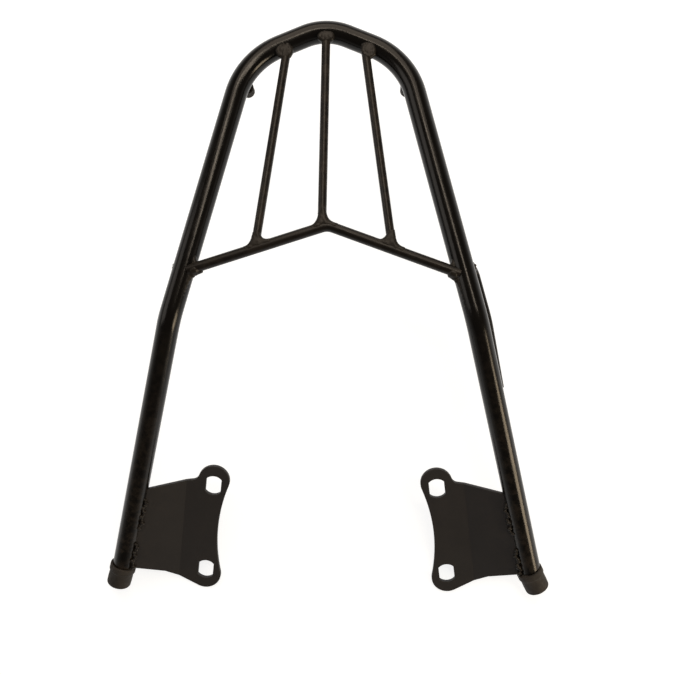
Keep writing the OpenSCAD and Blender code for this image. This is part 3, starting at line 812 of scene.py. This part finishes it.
# %% Beads at the rear ends of the deck rods
web_pool = 3.0 * MM
lump_rise = 0.5 * MM
tuck_ahead = 2.2
tuck_down = 2.6 * MM
rear_lumps = {-1: (6.4, -1.6, 7.2, 8.5), 0: (3.1, 0, 5.7, 8.4), 1: (6.0, 2.6, 8.0, 7.6)}
for side, label in ((-1, "left"), (0, "centre"), (1, "right")):
    rear, foot = bar_ends(side)
    along = (foot - rear).normalized()
    across = along.cross(Vector((0, 0, 1)))
    ahead, aside, half_len, half_wide = (v * MM for v in rear_lumps[side])
    middle = rear + along * ahead - across * aside
    middle.z = deck_top + lump_rise - web_pool
    pools = lump(middle, along, half_len, half_wide, web_pool)
    tuck = along * tuck_ahead * MM + Vector((0, 0, tuck_down))
    pools += [(pool - tuck, travel, size * 0.9) for pool, travel, size in pools]
    lay_bead("bead_rear_" + label, pools, ["weld_rear_" + label], passes=10)

# %% [markdown]
# At the cross rod, a web fills the corner on each side of a deck rod. Its reach up the rod and out
# along the cross rod is given in millimetres, first for the left corner and then for the right. The
# corner is taken on the cross rod's own edge, so that it is also right beside the V's point. A short
# row of pools, each smaller than the last, joins the two webs over the rod.

# %% Beads at the feet of the deck rods
web_rise = 0.2 * MM
foot_webs = {-1: (7.2, 3.2, 8.4, 8.6), 0: (7.4, 4.4, 7.6, 7.2), 1: (9.0, 8.6, 9.2, 4.0)}
foot_pools = 8


def cross_edge(x):
    return place(x, cross_y(x) + cross_r * 1.05, 0)


for side, label in ((-1, "left"), (0, "centre"), (1, "right")):
    rear, foot = bar_ends(side)
    along = (rear - foot).normalized()
    up_left, out_left, up_right, out_right = (v * MM for v in foot_webs[side])
    pools = []
    for k, up, out in ((-1, up_left, out_left), (1, up_right, out_right)):
        corner = cross_edge(foot.x + k * rod_r)
        cross_dir = (cross_edge(foot.x + k * (rod_r + out)) - corner).normalized()
        corner.z = deck_top + web_rise - web_pool
        pools += web(corner, along, up, cross_dir, out, web_pool)
    pools += [(foot + along * (cross_r * 0.5 + i * 1.2 * MM), along,
               rod_r + (0.4 - i * 0.05) * MM) for i in range(foot_pools)]
    lay_bead("bead_foot_" + label, pools, ["weld_foot_" + label], passes=8)

# %% [markdown]
# Where the cross rod meets the tube, the webs run along the tube instead, and furthest towards the
# front. The corner lies on the tube's skin at the cross rod's level. The pools are smaller here, and
# a short collar of them goes round the rod.

# %% Beads at the ends of the cross rod
cross_pool = 2.6 * MM
corner_step = 0.8 * MM
collar_pools = 4
cross_webs = {-1: (10.0, 5.5, 14.0, 7.5), 1: (9.5, 5.5, 20.0, 4.5)}
for side, label in ((-1, "left"), (1, "right")):
    end = cross_end(side)
    along = (apex - end).normalized()
    tube_dir = Vector((-side * math.sin(deck_flare), math.cos(deck_flare), 0))
    skin = side_x(end.y - shift.y) - math.sqrt(tube_r ** 2 - cross_z ** 2) / math.cos(deck_flare)
    root = place(side * skin, end.y - shift.y, cross_z)
    up_rear, out_rear, up_front, out_front = (v * MM for v in cross_webs[side])
    pools = []
    for k, up, out in ((1, up_rear, out_rear), (-1, up_front, out_front)):
        corner = root + tube_dir * k * (cross_r + corner_step) - Vector((0, 0, corner_step))
        pools += web(corner, tube_dir * k, up, along, out, cross_pool)
    pools += [(root + along * i * 1.3 * MM, along, cross_r + (0.25 - 0.12 * i) * MM)
              for i in range(collar_pools)]
    lay_bead("bead_cross_" + label, pools, ["weld_cross_" + label], passes=8)

# %% [markdown]
# The plates are only tacked: two short runs on each side fill the corner between the leg and the
# plate's rising half. The welder's hand shakes, so the row sways to both sides and its pools differ in
# size. A finer voxel keeps the single pools visible, as they are in the real tacks.

# %% Tacks on the plates
tack_gap = 0.4 * MM
tack_turn = math.radians(14)
tack_lift = 0.9 * MM
tack_spacing = 2.7 * MM
tack_sway = 1.1
tack_voxel = 0.4 * MM
tack_runs = (("rear", -35, -8), ("front", 7, 31))


def tack_place(along):
    near = tube_r + tack_gap
    lean = math.cos(tack_turn)
    x = leg_x(along) - near * math.cos(leg_flare) * lean
    rise = math.tan(fold_angle) * (on_plate(leg_x(along) - tube_r, along).x - fold_at)
    return leg_place(x, along + near * math.sin(leg_flare) * lean, plate_top + rise + tack_lift)


for side, label in ((-1, "left"), (1, "right")):
    for end, start, stop in tack_runs:
        a, b = (mirrored(tack_place(hole_mid_along + u * MM), side) for u in (start, stop))
        count = round((b - a).length / tack_spacing) + 1
        travel = (b - a).normalized()
        sway = leg_up.cross(travel).normalized()
        pools = [(a.lerp(b, i / (count - 1)) + sway * tack_sway * MM * math.sin(1.9 * i + side),
                  travel, (2.0 + 0.4 * math.sin(3.3 * i)) * MM) for i in range(count)]
        lay_bead(f"tack_{label}_{end}", pools, [f"weld_plate_{label}_{end}"], tack_voxel, 5)

# %% [markdown]
# The posts and the rear ends of the strap rods have plain rings of pools. A strap rod's front end lies
# along the leg, so two straight rows run beside it. These beads are small and mostly hidden, and each
# is laid by the same function.

# %% Beads of the posts and strap rods
post_pools = 12
strap_pools = 11
row_pools = 6
post_pool = 1.9 * MM
strap_pool = 1.7 * MM
for side, label in ((-1, "left"), (1, "right")):
    top = place(side * post_x, post_y, -tube_r - 0.3 * MM)
    pools = []
    for i in range(post_pools):
        a = math.tau * i / post_pools
        spoke = Vector((math.cos(a), math.sin(a), 0))
        travel = Vector((-math.sin(a), math.cos(a), 0))
        pools.append((top + spoke * (post_r + 0.5 * MM), travel, post_pool))
    lay_bead("bead_post_" + label, pools, ["weld_post_" + label])
    rear_at = mirrored(strap_top + (strap_knee - strap_top).normalized() * (tube_r + 0.4 * MM), side)
    drop = mirrored((strap_knee - strap_top).normalized(), side)
    one = drop.orthogonal().normalized()
    two = drop.cross(one)
    pools = []
    for i in range(strap_pools):
        a = math.tau * i / strap_pools
        spoke = one * math.cos(a) + two * math.sin(a)
        pools.append((rear_at + spoke * (rod_r + 0.2 * MM), drop.cross(spoke), strap_pool))
    lay_bead(f"bead_strap_{label}_rear", pools, [f"weld_strap_{label}_rear"])
    tail = mirrored(strap_end, side)
    back = (mirrored(strap_mid, side) - tail).normalized()
    toward = mirrored(leg_place(leg_x(strap_front), strap_front, 0), side) - tail
    toward.normalize()
    pools = []
    for k in (-1, 1):
        edge = back.cross(toward).normalized() * k * 2.6 * MM
        for i in range(row_pools):
            at = tail + back * (0.5 + 1.9 * i) * MM + toward * 2.4 * MM + edge
            pools.append((at, back, strap_pool))
    lay_bead(f"bead_strap_{label}_front", pools, [f"weld_strap_{label}_front"])

# %% [markdown]
# ## Floor and light
# The rack stands on a plain pale floor. A very bright floor would light the black paint from below, so
# its own colour is a middle grey with almost no shine, and Light Path adds the white only where the
# camera or a mirrored or bent ray sees it. The rack's shadow stays on it.

# %% Floor
floor_grey = (0.36, 0.38, 0.4, 1)
floor_white = 0.82
bm = bmesh.new()
bmesh.ops.create_grid(bm, x_segments=1, y_segments=1, size=6.0)
floor_mesh = bpy.data.meshes.new("floor")
bm.to_mesh(floor_mesh)
bm.free()
floor = bpy.data.objects.new("floor", floor_mesh)
bpy.context.scene.collection.objects.link(floor)
floor_paint = bpy.data.materials.new("floor_paint")
floor_paint.use_nodes = True
tree = floor_paint.node_tree
shader = tree.nodes["Principled BSDF"]
shader.inputs["Base Color"].default_value = floor_grey
shader.inputs["Roughness"].default_value = 0.9
shader.inputs["Specular IOR Level"].default_value = 0.1
glow = add(tree, "ShaderNodeEmission")
glow.inputs["Color"].default_value = (1, 1, 1, 1)
rays = add(tree, "ShaderNodeLightPath")
seen = math_node(tree, "MAXIMUM", rays.outputs["Is Camera Ray"], rays.outputs["Is Glossy Ray"])
seen = math_node(tree, "MAXIMUM", seen, rays.outputs["Is Transmission Ray"])
tree.links.new(math_node(tree, "MULTIPLY", seen, floor_white), glow.inputs["Strength"])
both = add(tree, "ShaderNodeAddShader")
tree.links.new(shader.outputs["BSDF"], both.inputs[0])
tree.links.new(glow.outputs["Emission"], both.inputs[1])
tree.links.new(both.outputs["Shader"], tree.nodes["Material Output"].inputs["Surface"])
floor_mesh.materials.append(floor_paint)
print("floor", len(tree.nodes), "nodes")

# %% [markdown]
# Black gloss shows little but what it mirrors, so the lamps are wide and soft. A narrow one above draws
# the long highlights down the tubes, a large one behind lights the bow, and a low warm one at the
# right gives the right leg its golden edge. The surroundings are a dim warm grey, a little paler near
# the horizon, so that a view from the side isn't black.

# %% Lamps and surroundings
aim_at = (0, 0, 0.1)


def soft_lamp(name, at, aim, width, height, watts, colour):
    data = bpy.data.lights.new(name, "AREA")
    data.shape = "RECTANGLE"
    data.size, data.size_y = width, height
    data.energy = watts
    data.color = colour
    lamp = bpy.data.objects.new(name, data)
    lamp.location = at
    lamp.rotation_mode = "QUATERNION"
    lamp.rotation_quaternion = (Vector(aim) - Vector(at)).to_track_quat("-Z", "Y")
    bpy.context.scene.collection.objects.link(lamp)
    print(name, watts, "W")


soft_lamp("lamp_over", (0.35, 0.5, 2.0), aim_at, 1.2, 0.2, 9, (1.0, 0.85, 0.68))
soft_lamp("lamp_rear", (0, 1.6, 1.7), aim_at, 1.6, 1.8, 24, (1.0, 0.84, 0.68))
soft_lamp("lamp_left", (-1.8, 0.3, 1.4), aim_at, 1.3, 1.3, 9, (1.0, 0.92, 0.84))
soft_lamp("lamp_right", (1.75, -0.98, 0.72), aim_at, 0.8, 0.8, 22, (1.0, 0.8, 0.55))
world = bpy.data.worlds.new("room")
world.use_nodes = True
sky = world.node_tree
towards = add(sky, "ShaderNodeTexCoord")
height = add(sky, "ShaderNodeSeparateXYZ")
sky.links.new(towards.outputs["Generated"], height.inputs[0])
background = sky.nodes["Background"]
background.inputs["Color"].default_value = (1.0, 0.93, 0.86, 1)
dimming = between(sky, height.outputs["Z"], 0.1, 0.5, 0.55, 0.1)
sky.links.new(dimming, background.inputs["Strength"])
bpy.context.scene.world = world
bpy.context.scene.view_settings.view_transform = "Standard"

# %% [markdown]
# ## Camera
# The photo was taken from above the legs, looking almost straight down, a little to the right of the
# middle. Its place and turn come from fitting the rack's own points to the picture.

# %% Camera
photo_px = 675
focal_px = 850
film_w = 36
eye = Vector((38.69, -105.35, 775.75)) * MM
image_right = Vector((0.9992, 0.01113, -0.03848))
image_down = Vector((0.00643, -0.99272, -0.1203))
into = image_right.cross(image_down)
camera_data = bpy.data.cameras.new("camera")
camera_data.sensor_width = film_w
camera_data.lens = film_w * focal_px / photo_px
camera_data.clip_start = 0.05
camera = bpy.data.objects.new("camera", camera_data)
camera.location = eye
camera.rotation_mode = "QUATERNION"
camera.rotation_quaternion = Matrix((image_right, -image_down, -into)).transposed().to_quaternion()
bpy.context.scene.collection.objects.link(camera)
bpy.context.scene.camera = camera
print("lens", round(camera_data.lens, 1), "mm at", [round(v, 3) for v in eye])
